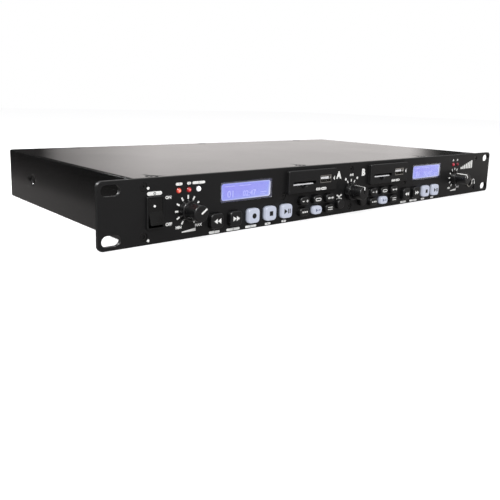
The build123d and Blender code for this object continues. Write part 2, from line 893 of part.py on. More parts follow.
# Mains inlet: a flanged shell with a cavity for the plug, two live blades and a raised earth blade.
inlet_front = case_depth - inlet_depth
with BuildPart() as mains_inlet:
    with BuildSketch(front(inlet_front)):
        with Locations((inlet_x, 0)):
            RectangleRounded(*inlet_body, inlet_corner)
    extrude(amount=-inlet_depth)
    with BuildSketch(front(case_depth)):
        with Locations((inlet_x, 0)):
            RectangleRounded(*inlet_flange, inlet_flange_corner)
    extrude(amount=-inlet_flange_thickness)
    with BuildSketch(front(inlet_front + inlet_wall)):
        with Locations((inlet_x, 0)):
            RectangleRounded(*inlet_cavity, inlet_corner)
    extrude(amount=-(inlet_depth + inlet_flange_thickness), mode=Mode.SUBTRACT)
    with BuildSketch(front(inlet_front - blade_tail)):
        with Locations(*[(inlet_x + dx, z) for dx, z in blades]):
            Rectangle(*blade_size)
    extrude(amount=-blade_length)
save(mains_inlet, "mains_inlet")

with BuildPart() as socket_blocks:
    for left, right in zip(socket_xs[::2], socket_xs[1::2]):
        with Locations(((left + right) / 2, rear_face - socket_block[1] / 2, 0)):
            Box(*socket_block)
    for x in socket_xs:
        with BuildSketch(front(rear_face)):
            with Locations((x, 0)):
                Circle(insulator_radius)
                Circle(insulator_bore, mode=Mode.SUBTRACT)
        extrude(amount=-(sheet + socket_length - insulator_recess))
save(socket_blocks, "socket_blocks")

with BuildPart() as socket_barrels:
    for x in socket_xs:
        with BuildSketch(front(rear_face)):
            with Locations((x, 0)):
                Circle(socket_radius)
                Circle(insulator_radius, mode=Mode.SUBTRACT)
        extrude(amount=-(sheet + socket_length))
save(socket_barrels, "socket_barrels")

# Two flat ribbons run from the control board down to the main board's front connector.
ribbon_start = board_y + board_thickness
ribbon_end = main_board_centre[1] - main_board[1] / 2 + 2.0
with BuildPart() as ribbon_cables:
    for side in (-1, 1):
        ribbon_x = main_board_centre[0] + side * (ribbon_width + ribbon_gap) / 2
        with BuildSketch(Plane.YZ.offset(ribbon_x - ribbon_width / 2)):
            with BuildLine():
                FilletPolyline(
                    (ribbon_start, ribbon_start_z),
                    (ribbon_start + 8.0, ribbon_start_z),
                    (ribbon_start + 14.0, ribbon_end_z),
                    (ribbon_end, ribbon_end_z),
                    radius=ribbon_bend,
                )
            trace(line_width=ribbon_thickness)
        extrude(amount=ribbon_width)
save(ribbon_cables, "ribbon_cables")

print("saved", len(os.listdir("parts")), "pieces")
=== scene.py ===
import bmesh
import bpy
import numpy as np
from mathutils import Matrix


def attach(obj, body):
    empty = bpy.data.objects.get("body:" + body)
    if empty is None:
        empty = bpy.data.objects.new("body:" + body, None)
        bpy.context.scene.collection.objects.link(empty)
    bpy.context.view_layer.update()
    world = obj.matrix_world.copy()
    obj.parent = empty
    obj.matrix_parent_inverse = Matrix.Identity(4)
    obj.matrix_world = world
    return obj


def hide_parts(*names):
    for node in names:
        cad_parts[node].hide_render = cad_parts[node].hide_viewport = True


# A one-unit rack media player: the finish of every surface, the printing, the displays and the lamps.
# Lengths are in millimetres of the part's own frame. The user faces -Y, with X to the right and Z up.

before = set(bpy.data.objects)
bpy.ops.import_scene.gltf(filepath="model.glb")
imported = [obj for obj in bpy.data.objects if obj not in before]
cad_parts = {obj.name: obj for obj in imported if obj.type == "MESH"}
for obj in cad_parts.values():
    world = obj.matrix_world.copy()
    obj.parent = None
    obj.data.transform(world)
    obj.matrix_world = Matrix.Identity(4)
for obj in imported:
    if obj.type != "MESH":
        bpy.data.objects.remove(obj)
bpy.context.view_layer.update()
mm = 0.001
print("scene: the frame is in")


def linear(hexCode):  # an sRGB hex value as the linear numbers that a shader takes
    srgb = np.array([int(hexCode[i:i + 2], 16) for i in (1, 3, 5)]) / 255
    rgb = np.where(srgb <= 0.04045, srgb / 12.92, ((srgb + 0.055) / 1.055) ** 2.4)
    return (*[float(c) for c in rgb], 1.0)


def feed(tree, node, inputs):  # gives each named socket its value, or a link from another node
    for key, value in inputs.items():
        if isinstance(value, bpy.types.NodeSocket):
            tree.links.new(value, node.inputs[key])
        else:
            node.inputs[key].default_value = value


def addNode(tree, kind, settings=None, inputs=None):  # one node, with its settings, values and links
    made = tree.nodes.new(kind)
    for key, value in (settings or {}).items():
        setattr(made, key, value)
    feed(tree, made, inputs or {})
    return made


def newMaterial(name):  # with its nodes and its shader
    material = bpy.data.materials.new(name)
    material.use_nodes = True
    return material, material.node_tree, material.node_tree.nodes["Principled BSDF"]


def dress(material, *names):  # gives CAD nodes their finish
    for name in names:
        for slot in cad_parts[name].material_slots:
            slot.material = material


# A shape is (points, faces). Its points are (n, 3) in millimetres, its faces lists of indices.

def joinShapes(shapes):  # many shapes as one, by shifting each one's indices past those before it
    points, faces, start = [], [], 0
    for shapePoints, shapeFaces in shapes:
        points.append(shapePoints)
        faces += [[start + i for i in face] for face in shapeFaces]
        start += len(shapePoints)
    return np.concatenate(points), faces


def gridFaces(rows, columns, ring):  # quads between the rows of a grid; with ring its columns close
    across = columns if ring else columns - 1
    i, j = np.meshgrid(np.arange(rows - 1), np.arange(across), indexing="ij")
    k = (j + 1) % columns
    quads = np.stack([i * columns + j, i * columns + k, (i + 1) * columns + k, (i + 1) * columns + j], -1)
    return quads.reshape(-1, 4).tolist()


def solidOutline(outline, low, high):  # a flat outline (n, 2), carried straight from low to high
    outline = np.asarray(outline, float)
    count = len(outline)
    levels = np.repeat([low, high], count)[:, None]
    faces = gridFaces(2, count, True) + [list(range(count))[::-1], list(range(count, 2 * count))]
    return np.hstack([np.tile(outline, (2, 1)), levels]), faces


def solidLine(path, left, right, low, high, closed=False):
    # a rectangle carried along a flat path and square to it, from its left side to its right side
    path = np.asarray(path, float)
    if closed:
        along = np.roll(path, -1, 0) - np.roll(path, 1, 0)
    else:
        along = np.gradient(path, axis=0)
    along /= np.linalg.norm(along, axis=1)[:, None]
    side = np.stack([-along[:, 1], along[:, 0]], 1)
    onLeft, onRight = path + side * left, path - side * right
    corners = [(onLeft, low), (onRight, low), (onRight, high), (onLeft, high)]
    rings = np.stack([np.hstack([edge, np.full((len(path), 1), level)]) for edge, level in corners], 1)
    count = 4 * len(path)
    if closed:
        faces = [[i % count for i in face] for face in gridFaces(len(path) + 1, 4, True)]
    else:
        faces = gridFaces(len(path), 4, True) + [[3, 2, 1, 0], list(range(count - 4, count))]
    return rings.reshape(-1, 3), faces


def solidFrame(first, second, low, high):  # the space between two outlines of as many points each
    count = len(first)
    rings = [np.hstack([outline, np.full((count, 1), level)]) for outline, level in
             ((first, low), (second, low), (second, high), (first, high))]
    faces = [[i % (4 * count) for i in face] for face in gridFaces(5, count, True)]
    return np.concatenate(rings), faces


def standing(shape):  # (x, z, depth) as drawn becomes (x, y, z)
    points, faces = shape
    return points[:, [0, 2, 1]], faces


def gridSlab(front, back):  # two grids (rows, columns, 3), joined round their rims
    rows, columns = front.shape[:2]
    shift = rows * columns
    grid = np.arange(shift).reshape(rows, columns)
    rim = np.concatenate([grid[0, :-1], grid[:-1, -1], grid[-1, :0:-1], grid[:0:-1, 0]])
    after = np.roll(rim, -1)
    faces = gridFaces(rows, columns, False)
    faces += [[i + shift for i in face[::-1]] for face in faces]
    faces += np.stack([rim, rim + shift, after + shift, after], 1).tolist()
    return np.concatenate([front.reshape(-1, 3), back.reshape(-1, 3)]), faces


def newObject(name, data):
    made = bpy.data.objects.new(name, data)
    bpy.context.scene.collection.objects.link(made)
    return made


def addPiece(name, shape, material, body="root", replaces=(), smooth=None, weights=None):
    # a shape in the part's frame becomes an object at the origin that rides on a body
    points, faces = shape
    mesh = bpy.data.meshes.new(name)
    mesh.from_pydata((points * mm).tolist(), [], faces)
    for key, values in (weights or {}).items():
        mesh.attributes.new(key, "FLOAT", "POINT").data.foreach_set("value", values)
    work = bmesh.new()
    work.from_mesh(mesh)
    bmesh.ops.recalc_face_normals(work, faces=work.faces)
    work.to_mesh(mesh)
    work.free()
    mesh.materials.append(material)
    piece = newObject(name, mesh)
    if smooth is not None:
        mesh.shade_smooth()
        mesh.set_sharp_from_angle(angle=np.radians(smooth))
    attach(piece, body)
    if replaces:
        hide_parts(*replaces)
    return piece


def grainFinish(name, look):
    # A broad noise shifts the colour and the roughness a little, as handling and coating do, and a
    # fine noise of the grain's size gives the height. Sizes are in mm.
    material, tree, shader = newMaterial(name)
    where = addNode(tree, "ShaderNodeTexCoord").outputs["Object"]
    broad = addNode(tree, "ShaderNodeTexNoise", None,
                    {"Vector": where, "Scale": 1 / (look["mottle"] * mm), "Detail": 3.0})
    fine = addNode(tree, "ShaderNodeTexNoise", None,
                   {"Vector": where, "Scale": 1 / (look["grain"] * mm), "Detail": 2.0})
    colour = addNode(tree, "ShaderNodeMix", {"data_type": "RGBA"},
                     {0: broad.outputs["Fac"], 6: linear(look["colours"][0]), 7: linear(look["colours"][1])})
    rough = addNode(tree, "ShaderNodeMapRange", None,
                    {"Value": broad.outputs["Fac"], "From Min": 0.3, "From Max": 0.7,  # its usual spread
                     "To Min": look["roughness"][0], "To Max": look["roughness"][1]})
    bump = addNode(tree, "ShaderNodeBump", None,
                   {"Strength": look["relief"], "Distance": look["grain"] * mm / 4,
                    "Height": fine.outputs["Fac"]})
    feed(tree, shader, {"Base Color": colour.outputs[2], "Roughness": rough.outputs["Result"],
                        "Normal": bump.outputs["Normal"], "Metallic": look.get("metallic", 0.0)})
    if "ior" in look:
        feed(tree, shader, {"IOR": look["ior"]})
    if "emission" in look:
        hexCode, strength = look["emission"]
        feed(tree, shader, {"Emission Color": linear(hexCode), "Emission Strength": strength})
    if "fade" in look:  # a glow that changes along Y, from one place to another
        fade = look["fade"]
        place = addNode(tree, "ShaderNodeSeparateXYZ", None, {"Vector": where})
        share = addNode(tree, "ShaderNodeMapRange", {"interpolation_type": "SMOOTHSTEP"},
                        {"Value": place.outputs["Y"],
                         "From Min": fade["from"] * mm, "From Max": fade["to"] * mm})
        glow = addNode(tree, "ShaderNodeMix", {"data_type": "RGBA"},
                       {0: share.outputs["Result"],
                        6: linear(fade["colours"][0]), 7: linear(fade["colours"][1])})
        feed(tree, shader, {"Emission Color": glow.outputs[2], "Emission Strength": fade["strength"]})
    return material


# Satin powder coat on the aluminium panel: fine orange peel, drawn at 0.7 mm so that it shows. It
# spreads a reflection wide, so the panel keeps one even dark grey.
panelCoat = grainFinish("satin powder-coated aluminium panel", {
    "colours": ("#0b0b0c", "#101011"), "grain": 0.7, "mottle": 60, "relief": 0.12,
    "roughness": (0.42, 0.50), "ior": 1.40})

# Smoother baked enamel on the folded steel: black from above, and a soft mirror at a glancing view.
caseCoat = grainFinish("satin enamelled steel case", {
    "colours": ("#090909", "#0e0e0e"), "grain": 1.1, "mottle": 80, "relief": 0.05,
    "roughness": (0.17, 0.19), "ior": 1.45})

# Passivated zinc on pressed steel: grey with a slight cast, dull.
zincPlate = grainFinish("zinc-plated steel", {
    "colours": ("#b9bcbf", "#a5a8a6"), "grain": 0.5, "mottle": 12, "relief": 0.1,
    "roughness": (0.28, 0.42), "metallic": 1.0})

# ABS moulded against a spark-eroded tool: a fine even texture.
mouldedBlack = grainFinish("spark-textured black ABS", {
    "colours": ("#0b0b0c", "#101011"), "grain": 0.35, "mottle": 25, "relief": 0.2,
    "roughness": (0.43, 0.50), "ior": 1.42})

# Polycarbonate of the power rocker, polished and then dulled by handling.
rockerGloss = grainFinish("polished black polycarbonate", {
    "colours": ("#080808", "#0b0b0b"), "grain": 0.6, "mottle": 10, "relief": 0.03,
    "roughness": (0.20, 0.27), "ior": 1.47})

# Satin ABS of the knobs: smooth enough for a soft line of light along an edge.
knobSatin = grainFinish("satin black ABS knob", {
    "colours": ("#0d0d0e", "#121213"), "grain": 0.3, "mottle": 8, "relief": 0.1,
    "roughness": (0.24, 0.32), "ior": 1.50})

# The same ABS on the keys, moulded with a rougher face.
keySatin = grainFinish("satin black ABS key", {
    "colours": ("#0d0d0e", "#121213"), "grain": 0.3, "mottle": 8, "relief": 0.12,
    "roughness": (0.32, 0.40), "ior": 1.48})

# Opal polycarbonate keys with a lamp behind. The light is full at the face, and fades down the
# sides towards the panel, where the lamp's own frame shades them.
keyOpal = grainFinish("back-lit opal polycarbonate key", {
    "colours": ("#787d8a", "#828793"), "grain": 0.4, "mottle": 5, "relief": 0.06,
    "roughness": (0.28, 0.34), "ior": 1.50,
    "fade": {"from": -0.2, "to": -1.9, "colours": ("#101116", "#d9def0"), "strength": 0.52}})

# Plated over turned brass: bright, with a little of the brass's warmth.
nickelPlate = grainFinish("bright nickel-plated brass", {
    "colours": ("#c9c7c2", "#bcbab5"), "grain": 0.4, "mottle": 6, "relief": 0.05,
    "roughness": (0.12, 0.20), "metallic": 1.0})

# Blued steel stays a metal, so a screw's rim catches the light while its face stays dark.
blackOxide = grainFinish("black-oxide steel screw", {
    "colours": ("#38383a", "#444443"), "grain": 0.25, "mottle": 3, "relief": 0.12,
    "roughness": (0.22, 0.32), "metallic": 1.0})

# Solder mask over copper: the green shifts where the copper lies, under a soft gloss.
boardGreen = grainFinish("green solder mask on glass epoxy", {
    "colours": ("#0d3a1e", "#13502a"), "grain": 0.9, "mottle": 9, "relief": 0.2,
    "roughness": (0.25, 0.35), "ior": 1.52})

# Film tape wound in turns: low ridges about a millimetre apart, and the film's gloss.
windingTape = grainFinish("yellow polyester tape winding", {
    "colours": ("#8f7421", "#a88a2c"), "grain": 1.2, "mottle": 10, "relief": 0.5,
    "roughness": (0.30, 0.42), "ior": 1.52})

# Vinyl drawn over wires 1.27 mm apart: ribbed and dull.
ribbonGrey = grainFinish("grey vinyl ribbon cable", {
    "colours": ("#8d8f91", "#9a9c9e"), "grain": 1.27, "mottle": 15, "relief": 0.5,
    "roughness": (0.42, 0.52), "ior": 1.50})

# Moulded nylon: a clean white with a soft face, and the same dyed red.
tongueWhite = grainFinish("white moulded nylon", {
    "colours": ("#f2f2f4", "#e9e9ec"), "grain": 0.3, "mottle": 4, "relief": 0.1,
    "roughness": (0.35, 0.45), "ior": 1.50})
insulatorRed = grainFinish("red moulded nylon", {
    "colours": ("#a3161a", "#8f1216"), "grain": 0.3, "mottle": 3, "relief": 0.1,
    "roughness": (0.35, 0.42), "ior": 1.50})

# Epoxy screen ink: an even coat with a slightly rough face. The navy one lies behind the display's
# glass, where the lamp lights it a little from behind.
screenInk = {"grain": 0.2, "mottle": 3, "relief": 0.1, "roughness": (0.45, 0.55), "ior": 1.45}
inkWhite = grainFinish("white screen-printed ink", dict(screenInk, colours=("#f4f4f2", "#ececea")))
inkBlack = grainFinish("black screen-printed ink", dict(screenInk, colours=("#08080a", "#0c0c0e")))
inkNavy = grainFinish("navy mask ink behind the glass", dict(
    screenInk, colours=("#05051a", "#07071f"), relief=0.05, emission=("#0b0b30", 1.0)))
inkBlue = grainFinish("blue-grey screen-printed ink", dict(screenInk, colours=("#4a5274", "#545c80")))


def clearAcrylic(look):  # polished sheet: clear, with faint wipe marks in its gloss
    material, tree, shader = newMaterial("clear acrylic pane")
    where = addNode(tree, "ShaderNodeTexCoord").outputs["Object"]
    wipes = addNode(tree, "ShaderNodeTexNoise", None,
                    {"Vector": where, "Scale": 1 / (look["wipes"] * mm), "Detail": 4.0})
    rough = addNode(tree, "ShaderNodeMapRange", None,
                    {"Value": wipes.outputs["Fac"],
                     "To Min": look["roughness"][0], "To Max": look["roughness"][1]})
    feed(tree, shader, {"Roughness": rough.outputs["Result"], "Base Color": linear(look["colour"]),
                        "Transmission Weight": 1.0, "IOR": look["ior"],
                        "Specular IOR Level": look["gloss"]})  # low, as it is anti-glare coated
    return material


def weightedGlow(name, look):
    # The light follows the weights that a piece carries: three colours from 0 to 1 over "glow".
    material, tree, shader = newMaterial(name)
    glow = addNode(tree, "ShaderNodeAttribute", {"attribute_name": "glow"})
    ramp = addNode(tree, "ShaderNodeValToRGB", None, {"Fac": glow.outputs["Fac"]})
    ramp.color_ramp.elements.new(look["middle"])
    for element, colour in zip(ramp.color_ramp.elements, look["colours"]):
        element.color = linear(colour)
    feed(tree, shader, {"Emission Color": ramp.outputs["Color"], "Emission Strength": look["strength"],
                        "Base Color": linear(look["body"]), "Roughness": look["roughness"],
                        "IOR": look["ior"]})
    return material


acrylic = clearAcrylic({"colour": "#fbfcff", "wipes": 9, "roughness": (0.02, 0.05), "gloss": 0.2,
                        "ior": 1.49})
print("scene: finishes are made")

dress(panelCoat, "front_panel")
dress(caseCoat, "chassis_tray", "rear_panel")
dress(zincPlate, "front_frame", "board_standoffs", "card_sockets", "selector_switch", "volume_pots")
dress(mouldedBlack, "media_bezel_a", "media_bezel_b", "power_switch_body", "headphone_jack",
      "mains_inlet", "socket_blocks", "tact_switches", "lcd_modules")
dress(rockerGloss, "power_rocker")
dress(knobSatin, "record_volume_knob", "mix_selector_knob", "phones_volume_knob")
dress(nickelPlate, "record_volume_shaft", "mix_selector_shaft", "phones_volume_shaft", "jack_ring",
      "socket_barrels", "usb_ports")
dress(blackOxide, "case_screws", "panel_screws")
dress(boardGreen, "control_board", "main_board", "power_board")
dress(windingTape, "transformer")
dress(ribbonGrey, "ribbon_cables")
dress(tongueWhite, "usb_tongues")
litKeys = ("record_button", "stop_button_a", "play_button_a", "stop_button_b", "play_button_b",
           "function_button_5a", "function_button_5b")
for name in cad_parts:
    if "_button" in name:
        dress(keyOpal if name in litKeys else keySatin, name)


# The folded cover, with a pressed dimple under each screw.
cover = {
    "half": 216.0, "top": 21.8, "hem": -21.6, "sheet": 1.2, "bend": 1.6, "front": 3.0, "back": 235.0,
    "frontEdge": 0.5,
    "seatDepth": 1.25, "seatRadius": 2.95, "dimpleRadius": 4.9,
    "frontScrews": (-199.0, -60.0, 115.0, 199.0), "frontScrewY": 8.0,
    "rearScrews": (-155.0, 0.0, 155.0), "rearScrewY": 228.0,
    "sideScrew": (178.0, 0.0),
    "fineStep": 0.45, "fineMargin": 0.2, "coarseStep": 9.0, "coarseMargin": 0.3,
    "turnSteps": 8, "edgeSteps": 4,
}


def makeCover(look):
    # The section is a folded line measured along its length u: up the left side, a quarter turn, the
    # top, a quarter turn and down the right side. Each point moves inwards by the pressed depth,
    # which falls from the seat to nothing as half a cosine of the distance from the screw.
    wall = look["top"] - look["bend"] - look["hem"]
    turn = look["bend"] * np.pi / 2
    flat = 2 * (look["half"] - look["bend"])
    total = 2 * (wall + turn) + flat

    def stations(centres, low, high, extra):
        reach = look["dimpleRadius"] + look["fineMargin"]
        spread = np.arange(-reach, reach, look["fineStep"])
        fine = (centres[:, None] + spread).ravel()
        coarse = np.arange(low, high, look["coarseStep"])
        away = np.abs(coarse[:, None] - centres).min(1)
        coarse = coarse[away > look["dimpleRadius"] + look["coarseMargin"]]
        every = np.unique(np.round(np.concatenate([fine, coarse, extra]), 4))
        return every[(every >= low) & (every <= high)]

    def alongTop(x):
        return wall + turn + x + flat / 2

    turns = [wall + turn * k / look["turnSteps"] for k in range(look["turnSteps"] + 1)]
    sideU, sideV = look["sideScrew"][1] - look["hem"], look["sideScrew"][0]
    screws = [(sideU, sideV), (total - sideU, sideV)]
    screws += [(alongTop(x), look["frontScrewY"]) for x in look["frontScrews"]]
    screws += [(alongTop(x), look["rearScrewY"]) for x in look["rearScrews"]]
    screwUs, screwVs = np.array(screws).T
    u = stations(screwUs, 0, total, turns + [total - u for u in turns] + [0, total])
    bend = np.linspace(0, np.pi / 2, look["edgeSteps"] + 1)
    edge = list(look["front"] + look["frontEdge"] * (1 - np.cos(bend)))
    v = stations(screwVs, look["front"], look["back"], edge + [look["back"]])
    u, v = np.meshgrid(u, v, indexing="ij")

    angle = np.clip(u - wall, 0, turn) / look["bend"]
    angle += np.clip(u - wall - turn - flat, 0, turn) / look["bend"]
    normal = np.stack([-np.cos(angle), np.zeros_like(angle), np.sin(angle)], -1)
    x = -look["half"] + look["bend"] + np.clip(u - wall - turn, 0, flat) + look["bend"] * normal[..., 0]
    z = look["hem"] + np.clip(u, 0, wall) - np.clip(u - (total - wall), 0, wall)
    z += look["bend"] * normal[..., 2]
    outer = np.stack([x, v, z], -1)

    pressed = np.zeros_like(u)
    for screwU, screwV in screws:
        away = np.hypot(u - screwU, v - screwV) - look["seatRadius"]
        away = np.clip(away / (look["dimpleRadius"] - look["seatRadius"]), 0, 1)
        pressed += look["seatDepth"] * (1 + np.cos(np.pi * away)) / 2
    inside = np.clip(look["front"] + look["frontEdge"] - v, 0, look["frontEdge"])
    eased = look["frontEdge"] - np.sqrt(look["frontEdge"] ** 2 - inside ** 2)
    skinOut = outer - normal * (pressed + eased)[..., None]
    skinIn = outer - normal * (pressed + look["sheet"])[..., None]
    return gridSlab(skinOut, skinIn)


addPiece("folded_cover", makeCover(cover), caseCoat, replaces=["top_cover"], smooth=35)
print("scene: the cover is folded and pressed")


# Printing: thin shapes of ink, half sunk into the surface below them.
ink = {"sunk": -0.05, "proud": 0.05,
       "capHeight": 0.729,  # the font's capitals, as a share of its size
       "arrowHalf": 0.62,  # half an arrow sign's height, as a share of its length
       "curveSteps": 4, "tabSteps": 9}


def bar(x, z, width, height, turn=0.0):  # turn is clockwise, in degrees
    a = np.radians(turn)
    corners = np.array([(-1, -1), (1, -1), (1, 1), (-1, 1)]) * (width / 2, height / 2)
    turned = corners @ np.array([(np.cos(a), -np.sin(a)), (np.sin(a), np.cos(a))])
    return solidOutline(turned + (x, z), ink["sunk"], ink["proud"])


def disc(x, z, radius, sides=28):  # points evenly round a circle
    a = np.linspace(0, 2 * np.pi, sides, endpoint=False)
    outline = np.stack([x + radius * np.cos(a), z + radius * np.sin(a)], 1)
    return solidOutline(outline, ink["sunk"], ink["proud"])


def patch(x, z, corners):  # a flat shape with straight sides
    return solidOutline(np.array(corners, float) + (x, z), ink["sunk"], ink["proud"])


def line(x, z, path, width, closed=False):  # a stroke of one width
    path = np.array(path, float) + (x, z)
    return solidLine(path, width / 2, width / 2, ink["sunk"], ink["proud"], closed)


def arcPath(radius, start, end, steps=24):  # degrees clockwise from the top
    a = np.radians(np.linspace(start, end, steps))
    return np.stack([radius * np.sin(a), radius * np.cos(a)], 1)


def letters(text, x, z, height, bold):  # text made a mesh, then placed
    curve = bpy.data.curves.new("letters", "FONT")
    curve.body = text
    curve.size = height / ink["capHeight"]
    curve.align_x = "CENTER"
    curve.extrude = (ink["proud"] - ink["sunk"]) / 2
    curve.offset = bold
    curve.resolution_u = ink["curveSteps"]
    holder = bpy.data.objects.new("letters", curve)
    mesh = bpy.data.meshes.new_from_object(holder)
    points = np.empty(3 * len(mesh.vertices))
    mesh.vertices.foreach_get("co", points)
    faces = [list(face.vertices) for face in mesh.polygons]
    bpy.data.objects.remove(holder)
    bpy.data.curves.remove(curve)
    points = points.reshape(-1, 3) + (x, z - height / 2, (ink["proud"] + ink["sunk"]) / 2)
    return points, faces


def onFront(shapes, surface):  # drawn as the user sees it, on the plane y = surface
    points, faces = joinShapes(shapes)
    return np.stack([points[:, 0], surface - points[:, 2], points[:, 1]], 1), faces


def onBack(shapes, surface):  # drawn as seen from behind, on the plane y = surface
    points, faces = joinShapes(shapes)
    return np.stack([-points[:, 0], surface + points[:, 2], points[:, 1]], 1), faces


panel = {
    "lampXs": (-182.9, -174.7, -166.7, 163.1, 171.3), "lampZ": 12.0,
    "recordKnob": (-175.2, -2.2), "mixKnob": (-4.8, -3.0), "phonesKnob": (167.3, -2.2),
    # power switch: its tab (x, z, width, height), its words, and two painted glints by the screws, drawn as
    # white ink dots
    "powerTab": (-201.4, 11.7, 11.2, 2.5), "powerWords": (("ON", -191.0, 8.2), ("OFF", -190.6, -10.0)),
    "powerType": (2.1, 0.12), "dots": ((-206.2, 15.4), (-206.4, -19.2)), "screwGlintRadius": 0.95,
    # dials: ticks, then the places of MIN, MAX and the wedge
    "tickRadii": (8.0, 10.6), "tickWidth": 1.2, "tickTurns": range(-150, 151, 30), "wordType": (1.9, 0.13),
    "recordWords": ((-182.9, -13.2), (-166.6, -13.2), (-174.6, -16.2)),
    "phonesWords": ((158.2, -12.8), (175.6, -12.8), (167.1, -15.4)),
    "wedge": ((-5.7, -1.0), (5.7, -1.0), (5.7, 1.2), (-5.7, -0.3)),
    # mix selector: its three ticks, the dots at its ends and its word, from its own axis
    "mixShift": 1.0, "mixTurns": (-28, 0, 28), "mixRadius": 9.6, "mixTick": (1.2, 2.3),
    "mixDots": ((-7.4, 10.9), (7.9, 11.2)), "mixDotRadius": 1.15, "mixWord": (0.1, 11.5, 2.0, 0.13),
    # deck letters, and the crossed arrows over the round keys
    "deckLetters": (("A", -20.6, 12.5), ("B", 12.4, 12.9)), "deckType": (5.7, 0.5),
    "crossedXs": (-18.9, 11.9), "crossedZ": -7.0, "crossedRise": 1.7, "crossedRuns": (-3.4, -2.0, 1.8, 2.6),
    "crossedWidth": 1.1, "crossedTip": ((0, -1.2), (1.6, 0), (0, 1.2)), "crossedTipX": 2.3,
    # tabs over the lamps (number, x, width) and under the transport keys
    "lampTabs": ((1, -182.6, 5.4), (2, -174.6, 3.2), (3, -166.5, 10.6), (1, 163.1, 2.4), (2, 171.3, 2.4)),
    "lampTabZ": 16.4, "lampTabHeight": 1.9, "keyTabHeight": 1.8,
    "transportA": (-152.6, -135.5, -118.4, -101.3, -84.2), "tabWidthsA": (9.5, 12.5, 11.0, 6.0, 5.0),
    "transportB": (76.5, 93.3, 110.1, 126.9), "tabWidthsB": (9.5, 12.5, 6.0, 5.0),
    "tabZA": -20.3, "tabZB": -20.0,
    # rising bars over the headphone socket, and a headphone sign beside it
    "levels": {"count": 7, "x": 180.4, "z": 6.2, "pitch": 3.55, "width": 2.5, "lowest": 2.2, "rise": 1.05},
    "headphones": {"x": 209.0, "z": -9.4, "arc": (2.7, -98, 98, 20), "band": 0.7,
                   "cupX": 2.75, "cupZ": -11.0, "cup": (1.5, 2.3)},
}


def keyTabs(look):  # (number, x, z, width) of the printed tab under each transport key
    rows = ((look["transportA"], look["tabZA"], look["tabWidthsA"]),
            (look["transportB"], look["tabZB"], look["tabWidthsB"]))
    return [(number, x, z, width) for xs, z, widths in rows
            for number, (x, width) in enumerate(zip(xs, widths), 1)]


def dialPrint(centre, look, minimum, maximum, wedge):
    # eleven ticks round the knob, the words at the two ends and a wedge that grows to the right
    x, z = centre
    middle = sum(look["tickRadii"]) / 2
    length = look["tickRadii"][1] - look["tickRadii"][0]
    shapes = []
    for turn in look["tickTurns"]:
        a = np.radians(turn)
        shapes.append(bar(x + middle * np.sin(a), z + middle * np.cos(a), look["tickWidth"], length, turn))
    shapes.append(letters("MIN", *minimum, *look["wordType"]))
    shapes.append(letters("MAX", *maximum, *look["wordType"]))
    shapes.append(patch(*wedge, look["wedge"]))
    return shapes


def tab(x, z, width, height):  # a bar with round ends
    a = np.linspace(0, np.pi, ink["tabSteps"])
    end = height / 2 * np.stack([np.cos(a), np.sin(a)], 1)
    outline = np.concatenate([end @ [[0, 1], [1, 0]] + ((width - height) / 2, 0),
                              end @ [[0, -1], [-1, 0]] - ((width - height) / 2, 0)])
    return solidOutline(outline + (x, z), ink["sunk"], ink["proud"])


def panelPrint(look):
    shapes = [tab(*look["powerTab"])]
    shapes += [letters(text, x, z, *look["powerType"]) for text, x, z in look["powerWords"]]
    # two white ink dots beside the screws: painted glints of the screws
    shapes += [disc(x, z, look["screwGlintRadius"]) for x, z in look["dots"]]
    shapes += [tab(x, look["lampTabZ"], width, look["lampTabHeight"])
               for number, x, width in look["lampTabs"]]
    shapes += dialPrint(look["recordKnob"], look, *look["recordWords"])
    shapes += dialPrint(look["phonesKnob"], look, *look["phonesWords"])

    x, z = look["mixKnob"]
    x += look["mixShift"]
    for turn in look["mixTurns"]:
        a, radius = np.radians(turn), look["mixRadius"]
        shapes.append(bar(x + radius * np.sin(a), z + radius * np.cos(a), *look["mixTick"], turn))
    shapes += [disc(x + dotX, z + dotZ, look["mixDotRadius"]) for dotX, dotZ in look["mixDots"]]
    wordX, *word = look["mixWord"]
    shapes.append(letters("A+B", x + wordX, *word))

    shapes += [letters(text, x, z, *look["deckType"]) for text, x, z in look["deckLetters"]]
    for x in look["crossedXs"]:
        for rise in (-look["crossedRise"], look["crossedRise"]):
            path = list(zip(look["crossedRuns"], (-rise, -rise, rise, rise)))
            shapes.append(line(x, look["crossedZ"], path, look["crossedWidth"]))
            shapes.append(patch(x + look["crossedTipX"], look["crossedZ"] + rise, look["crossedTip"]))
    shapes += [tab(x, z, width, look["keyTabHeight"]) for number, x, z, width in keyTabs(look)]

    level = look["levels"]
    for step in range(level["count"]):
        height = level["lowest"] + level["rise"] * step
        x = level["x"] + level["pitch"] * step
        shapes.append(bar(x, level["z"] + height / 2, level["width"], height))
    phones = look["headphones"]
    shapes.append(line(phones["x"], phones["z"], arcPath(*phones["arc"]), phones["band"]))
    shapes += [bar(phones["x"] + side * phones["cupX"], phones["cupZ"], *phones["cup"]) for side in (-1, 1)]
    return shapes


addPiece("panel_printing", onFront(panelPrint(panel), 0.0), inkWhite)

# Inside its tab each number is left bare, so the panel's black shows through.
bareType = {"lamp": (1.3, 0.02), "key": (1.25, 0.02), "powerWidth": 0.35,
            "powerRing": (-201.4, 11.6), "powerArc": (0.8, 35, 325), "powerBar": (-201.4, 12.15, 1.0)}
bare = [letters(str(number), x, panel["lampTabZ"], *bareType["lamp"])
        for number, x, width in panel["lampTabs"]]
bare += [letters(str(number), x, z, *bareType["key"]) for number, x, z, width in keyTabs(panel)]
bare.append(line(*bareType["powerRing"], arcPath(*bareType["powerArc"]), bareType["powerWidth"]))
x, z, height = bareType["powerBar"]
bare.append(bar(x, z, bareType["powerWidth"], height))
addPiece("panel_tab_numbers", onFront(bare, -ink["proud"]), inkBlack)

